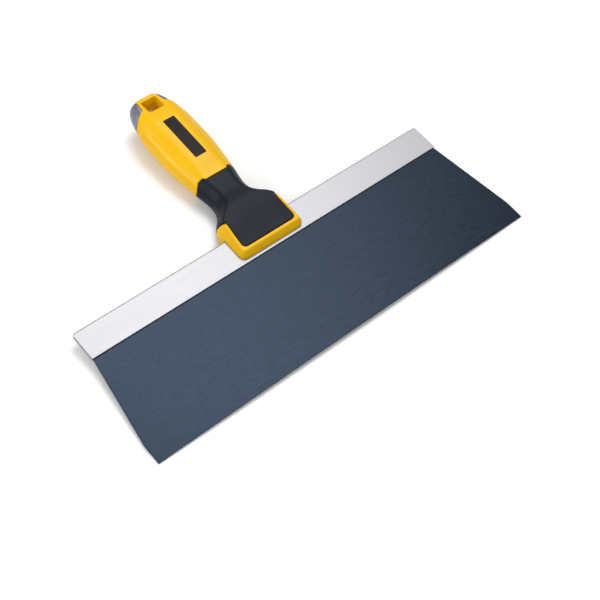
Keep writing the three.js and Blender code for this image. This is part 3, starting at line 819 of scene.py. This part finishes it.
def shell_sunk():
    """Where the grips and the badge lie, the shell's surface is lower by their thickness."""
    bond_gap = 0.1
    under_grip = handle_surface(inset=GRIP_THICKNESS + bond_gap)
    under_badge = handle_surface(inset=BADGE_THICKNESS)
    at_badge = badge_zone(outer_form) < 0.4
    return np.where(at_badge[..., None], under_badge, under_grip)


def shell(name, half, half_sign, extra, zone_of_sunk, node):
    """One half of the yellow moulding, with its rounded lips along the grips."""
    around_cap = CAP_GAP - web_zone(outer_form)
    around_hole = -hole_zone(outer_form)
    zone = np.maximum.reduce([half, tongue_zone(outer_form), around_cap, around_hole] + extra)
    near_hole = np.clip(2 + around_hole, 0, 1)  # 1 up to 1 mm from the hole, 0 from 2 mm on
    roll = towards_parting(half, RIM_ROLL) + (HOLE_LIP - RIM_ROLL) * near_hole
    near_badge = badge_zone(outer_form) < 2
    sunk_roll = np.where(near_badge, BADGE_ROLL, GRIP_RIM_ROLL)
    sunk_roll = np.minimum(sunk_roll, towards_parting(half, GRIP_RIM_ROLL))
    made = close_piece(
        outer_form, shell_inner(half_sign), zone, roll, wraps=True, pole=True,
        sunk=shell_sunk(), sunk_zone=zone_of_sunk, sunk_radius=sunk_roll,
    )
    add_mesh(name, *made, yellow, "handle_plastic", [node])


def grip(name, half, extra, node):
    """One half of the soft grip, its edges rolled into the groove beside the yellow lips."""
    zone = np.maximum.reduce([half, grip_zone(outer_form) + GRIP_GROOVE] + extra)
    inner = handle_surface(inset=GRIP_THICKNESS)
    roll = towards_parting(half, GRIP_ROLL)
    made = close_piece(outer_form, inner, zone, roll, wraps=True)
    add_mesh(name, *made, rubber, "grip_rubber", [node])


def butt_cap():
    """The metal corners beside the tongues, and the flat between them on the butt's end."""
    further_down = CAP_FACE_RECESS - CAP_SIDE_RECESS
    form = handle_surface(inset=CAP_SIDE_RECESS, drop=further_down)
    inner = handle_surface(inset=CAP_SIDE_RECESS + CAP_WALL, drop=further_down, shorten=CAP_WALL)
    beside_tongue = CAP_TONGUE_GAP - tongue_zone(form)
    zone = np.maximum(np.minimum(beside_tongue, web_zone(form)), WEB_START - form[..., 1])
    roll = np.full(zone.shape, CAP_ROLL)
    made = close_piece(form, inner, zone, roll, wraps=True, pole=True)
    add_mesh("cast_cap", *made, zinc, "cap_metal", ["butt_cap"])


def badge():
    """A plain raised plate that follows the handle's front face."""
    normals = grid_normals(outer_form, True)
    face = outer_form + normals * BADGE_PROUD
    inner = outer_form - normals * (BADGE_THICKNESS - BADGE_PROUD - 0.1)
    zone = badge_zone(outer_form)
    made = close_piece(face, inner, zone, np.full(zone.shape, BADGE_ROLL), wraps=True)
    add_mesh("plain_badge", *made, badge_black, "badge_plastic", ["badge"])


front = front_half(outer_form)
rear = rear_half(outer_form)
grips_and_badge = np.minimum(grip_zone(outer_form), badge_zone(outer_form) - 0.05)
around_pockets = -pocket_zone(outer_form)
shell("front_moulding", front, 1, [], grips_and_badge, "front_shell")
shell("rear_moulding", rear, -1, [around_pockets], grip_zone(outer_form), "rear_shell")
grip("front_soft_grip", front, [], "front_grip")
grip("rear_soft_grip", rear, [around_pockets], "rear_grip")
butt_cap()
badge()

# ---- Blade and bar ----


def rivet_holes(p):
    """The holes for the tang's rivets, through bar and blade."""
    return circles(p, [(x, RIVET_Y) for x in RIVET_X], RIVET_HOLE_RADIUS)


def blade_sheet():
    """The blade: depth d runs from its root to the working edge, and u across. The sides flare over the
    flare depth, and the sheet bows forward by bow (1 - u^2) (d / depth)^1.5."""
    depth = np.append(stretches([(-BLADE_ROOT, 0, 26), (0, BLADE_DEPTH, 76)]), BLADE_DEPTH)
    across = np.linspace(-1, 1, 221)
    d, u = np.meshgrid(depth, across, indexing="ij")
    root = BAR_LENGTH / 2 - BLADE_ROOT_INSET
    half = root + (BLADE_WIDTH / 2 - root) * np.clip(d / BLADE_FLARE_DEPTH, 0, 1)
    bow = BLADE_BOW * (1 - u**2) * np.maximum(d / BLADE_DEPTH, 0) ** 1.5
    roll = 0.1
    rim = roll + 0.02  # the roll is added outside the grid, and a hair keeps it within the blade's size
    middle = np.stack([u * (half - rim), np.minimum(-d, BLADE_ROOT - roll), bow], -1)
    middle[-1, :, 1] += rim
    half_sheet = grid_normals(middle, False) * BLADE_THICKNESS / 2
    zone = -rivet_holes(middle)
    made = close_piece(middle + half_sheet, middle - half_sheet, zone, np.full(zone.shape, roll))
    add_mesh("blued_blade", *made, blued, "blued_steel", ["blade"])


def folded_bar():
    """The bar: a profile of front leaf, half-circle fold and rear leaf, carried along X. Round corners in
    plan and the rivet holes are cut out of it."""
    fold_y = BAR_HEIGHT - BAR_OUTER
    leaf = np.linspace(0, 1, 22, endpoint=False) ** 0.8
    fold = np.linspace(math.pi / 2, -math.pi / 2, 33)
    roll = 0.12
    start = roll + (fold_y - roll) * leaf

    def profile(radius):
        y = np.concatenate([start, fold_y + radius * np.cos(fold), start[::-1]])
        z = np.concatenate([np.full(len(leaf), radius), radius * np.sin(fold), np.full(len(leaf), -radius)])
        return y, z

    end = BAR_LENGTH / 2 - roll
    fine = 3.0  # length at each end with closer columns, for the round corners
    ends = end - stretches([(0, fine, 10)])
    x = np.concatenate([ends, np.linspace(end - fine, -end + fine, 191), -ends[::-1]])

    def surface(radius):
        y, z = profile(radius)
        grid_y, grid_x = np.meshgrid(y, x, indexing="ij")
        grid_z = np.repeat(z[:, None], len(x), 1)
        return np.stack([grid_x, grid_y, grid_z], -1)

    outer = surface(BAR_OUTER)
    inner = surface(BAR_OUTER - BAR_SHEET)
    # A plan twice as high as the bar and just clear of its fold, so that only its top corners are round.
    plan_y = outer[..., 1] - 2 * roll
    plan = rounded_box(outer[..., 0], plan_y, BAR_LENGTH / 2, BAR_HEIGHT, BAR_CORNER_RADIUS)
    zone = np.maximum(plan, -rivet_holes(outer))
    made = close_piece(outer, inner, zone, np.full(zone.shape, roll))
    add_mesh("folded_bar", *made, bright_bar, "bar_aluminium", ["back_bar"])


blade_sheet()
folded_bar()

# ---- CAD nodes that stay ----

rivets = [f"tang_rivet_{i}" for i in (1, 2, 3)]
screws = [f"shell_screw_{i}" for i in (1, 2, 3)]
for name in ["tang"] + rivets + screws:
    node = frame["nodes"][name]
    node.data.materials.clear()
    node.data.materials.append(plated)

# ---- Floor and light ----

FLOOR_SIZE = 6.0
FLOOR_GAP = 0.0002  # keeps the knife's lowest faces clear of the floor


def floor():
    """A plain white floor under the knife."""
    mesh = bpy.data.meshes.new("floor")
    half = FLOOR_SIZE / 2
    corners = [(-half, -half, 0), (half, -half, 0), (half, half, 0), (-half, half, 0)]
    mesh.from_pydata(corners, [], [(0, 1, 2, 3)])
    material, _, _ = new_material("white_floor", Base_Color=linear("#f2f2f2"), Roughness=0.9)
    mesh.materials.append(material)
    piece = bpy.data.objects.new("floor", mesh)
    piece.location.z = -FLOOR_GAP
    bpy.context.scene.collection.objects.link(piece)


def softbox(name, place, size, power):
    """A square area light that faces the origin."""
    data = bpy.data.lights.new(name, "AREA")
    data.size = size
    data.energy = power
    light = bpy.data.objects.new(name, data)
    light.location = place
    light.rotation_euler = (-Vector(place)).to_track_quat("-Z", "Y").to_euler()
    bpy.context.scene.collection.objects.link(light)


def sky(strength):
    """An even white surround, for fill."""
    world = bpy.data.worlds.new("surround")
    world.use_nodes = True
    background = world.node_tree.nodes["Background"]
    background.inputs["Color"].default_value = (1, 1, 1, 1)
    background.inputs["Strength"].default_value = strength
    bpy.context.scene.world = world


floor()
sky(0.5)
softbox("key", (0.27, 0.25, 0.95), 0.6, 6.8)
softbox("left_strip", (-0.80, 0.35, 0.45), 0.25, 3.0)
softbox("front_fill", (-0.45, -0.65, 0.60), 0.5, 2.2)
bpy.context.scene.view_settings.view_transform = "Standard"
